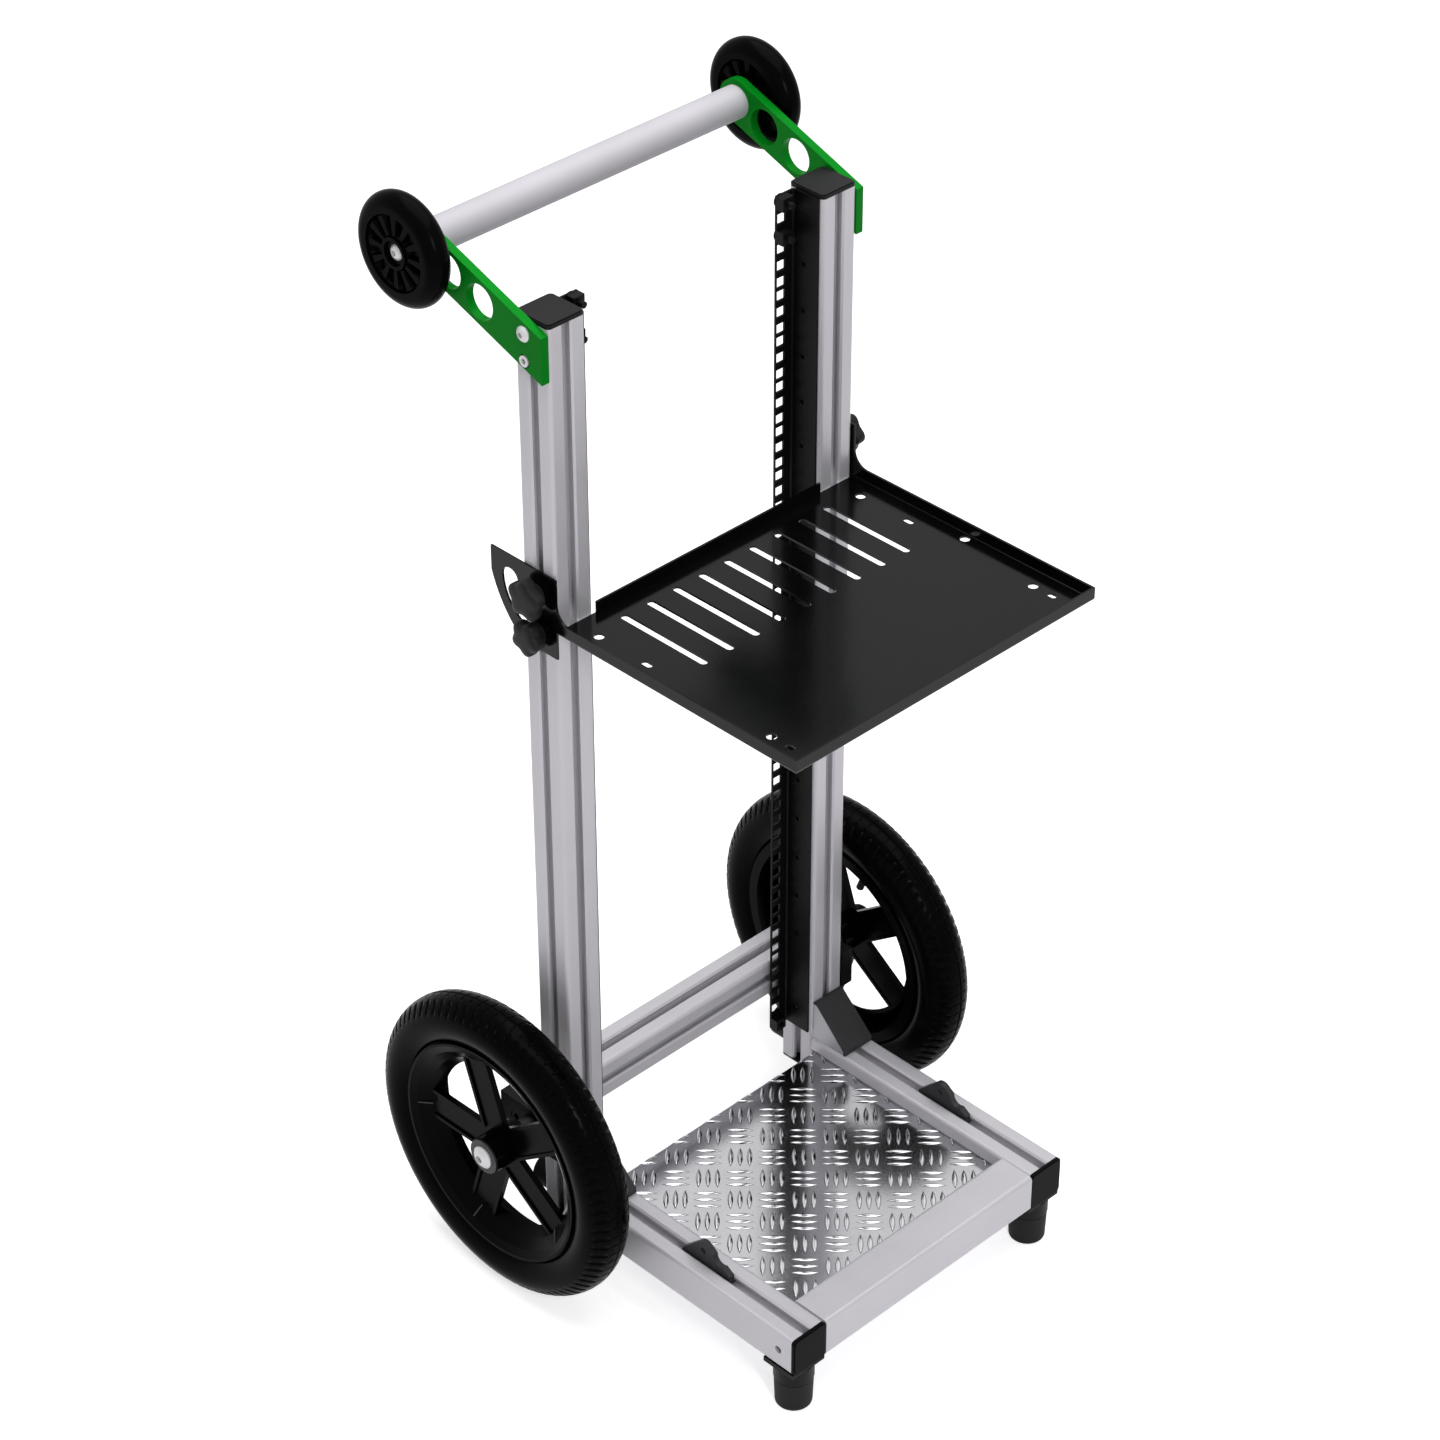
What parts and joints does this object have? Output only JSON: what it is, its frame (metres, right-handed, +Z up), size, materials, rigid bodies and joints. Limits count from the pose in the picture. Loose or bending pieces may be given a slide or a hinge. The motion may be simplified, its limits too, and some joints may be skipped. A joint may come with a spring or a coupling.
{
  "type": "sound cart",
  "caption": "Upright two-wheeled sound cart: slotted aluminium posts on a low deck, rack rails, height-adjustable folding tray and a handlebar with small wheels.",
  "frame": {"origin": "on the floor under the middle of the whole cart's box", "axes": "+X along the wheel axle to the right as seen from the platform side, -Y towards the platform, +Y towards the handlebar, +Z up"},
  "size_m": [0.5038, 0.475, 1.0635],
  "materials": {
    "profile": "satin",
    "cap": "matt moulded",
    "deck": "bright chequered",
    "rubber": "matt",
    "black_plate": "satin black",
    "black_screw": "blackened",
    "fastener": "zinc plated",
    "bracket": "cast, satin",
    "cover": "matt moulded",
    "lug": "satin dark grey",
    "collar": "matt moulded",
    "rack": "satin black",
    "rim": "semi-gloss moulded",
    "tyre": "matt",
    "bearing": "ground",
    "bolt": "polished stainless",
    "washer": "satin dark grey",
    "green_plate": "green anodised",
    "tube": "satin anodised",
    "small_wheel": "semi-gloss moulded",
    "tray": "gloss black",
    "knob": "semi-gloss moulded"
  },
  "bodies": {
    "frame": {"post_left": "profile", "post_right": "profile", "post_top_caps": "cap", "post_bottom_caps": "cap", "side_rail_left": "profile", "side_rail_right": "profile", "rail_end_caps": "cap", "front_crossbar": "profile", "crossbar_screws": "fastener", "deck_plate": "deck", "deck_gaskets": "rubber", "cross_rail": "profile", "axle_plate_left": "black_plate", "axle_plate_right": "black_plate", "axle_plate_screws": "black_screw", "corner_bracket_left": "bracket", "corner_bracket_right": "bracket", "bracket_covers": "cover", "bracket_screws": "fastener", "tie_down_lugs": "lug", "foot_plates": "black_plate", "foot_collars": "collar", "foot_rubbers": "rubber", "foot_screws": "fastener", "rear_bumpers": "rubber", "bumper_screws": "fastener", "rack_rail_left": "rack", "rack_rail_right": "rack", "rack_rail_screws": "fastener", "rack_screws": "black_screw", "cage_nuts": "fastener", "slot_nuts": "fastener", "axle_bolts": "bolt", "axle_washers": "washer", "wheel_spacers": "washer", "handle_plate_left": "green_plate", "handle_plate_right": "green_plate", "handle_tube": "tube", "tube_plugs": "fastener", "handle_bolts": "bolt", "handle_screws": "bolt", "handle_lock_screws": "bolt"},
    "wheel_left": {"rim_left": "rim", "tyre_left": "tyre", "wheel_bearings_left": "bearing", "valve_left": "rubber"},
    "wheel_right": {"rim_right": "rim", "tyre_right": "tyre", "wheel_bearings_right": "bearing", "valve_right": "rubber"},
    "small_wheel_left": {"handle_wheel_left": "small_wheel", "handle_bearings_left": "bearing"},
    "small_wheel_right": {"handle_wheel_right": "small_wheel", "handle_bearings_right": "bearing"},
    "shelf_carriage": {"shelf_studs": "fastener"},
    "shelf": {"shelf_tray": "tray"},
    "upper_knob_left": {"knob_upper_left": "knob"},
    "lower_knob_left": {"knob_lower_left": "knob"},
    "upper_knob_right": {"knob_upper_right": "knob"},
    "lower_knob_right": {"knob_lower_right": "knob"}
  },
  "joints": [
    {"name": "wheel_left_spin", "type": "hinge", "parent": "frame", "child": "wheel_left", "pos_m": [0, 0.0845, 0.152], "axis": [1, 0, 0], "continuous": true},
    {"name": "wheel_right_spin", "type": "hinge", "parent": "frame", "child": "wheel_right", "pos_m": [0, 0.0845, 0.152], "axis": [1, 0, 0], "continuous": true},
    {"name": "small_wheel_left_spin", "type": "hinge", "parent": "frame", "child": "small_wheel_left", "pos_m": [0, 0.1875, 1.0135], "axis": [1, 0, 0], "continuous": true},
    {"name": "small_wheel_right_spin", "type": "hinge", "parent": "frame", "child": "small_wheel_right", "pos_m": [0, 0.1875, 1.0135], "axis": [1, 0, 0], "continuous": true},
    {"name": "shelf_height", "type": "slide", "parent": "frame", "child": "shelf_carriage", "axis": [0, 0, 1], "range_m": [-0.36, 0.13]},
    {"name": "shelf_tilt", "type": "hinge", "parent": "shelf_carriage", "child": "shelf", "pos_m": [0, 0.0645, 0.7335], "axis": [-1, 0, 0], "range_deg": [0, 88]},
    {"name": "upper_knob_left_turn", "type": "hinge", "parent": "shelf_carriage", "child": "upper_knob_left", "pos_m": [0, 0.0645, 0.7335], "axis": [-1, 0, 0], "range_deg": [0, 180]},
    {"name": "lower_knob_left_turn", "type": "hinge", "parent": "shelf_carriage", "child": "lower_knob_left", "pos_m": [0, 0.0645, 0.695], "axis": [-1, 0, 0], "range_deg": [0, 180]},
    {"name": "upper_knob_right_turn", "type": "hinge", "parent": "shelf_carriage", "child": "upper_knob_right", "pos_m": [0, 0.0645, 0.7335], "axis": [1, 0, 0], "range_deg": [0, 180]},
    {"name": "lower_knob_right_turn", "type": "hinge", "parent": "shelf_carriage", "child": "lower_knob_right", "pos_m": [0, 0.0645, 0.695], "axis": [1, 0, 0], "range_deg": [0, 180]}
  ]
}
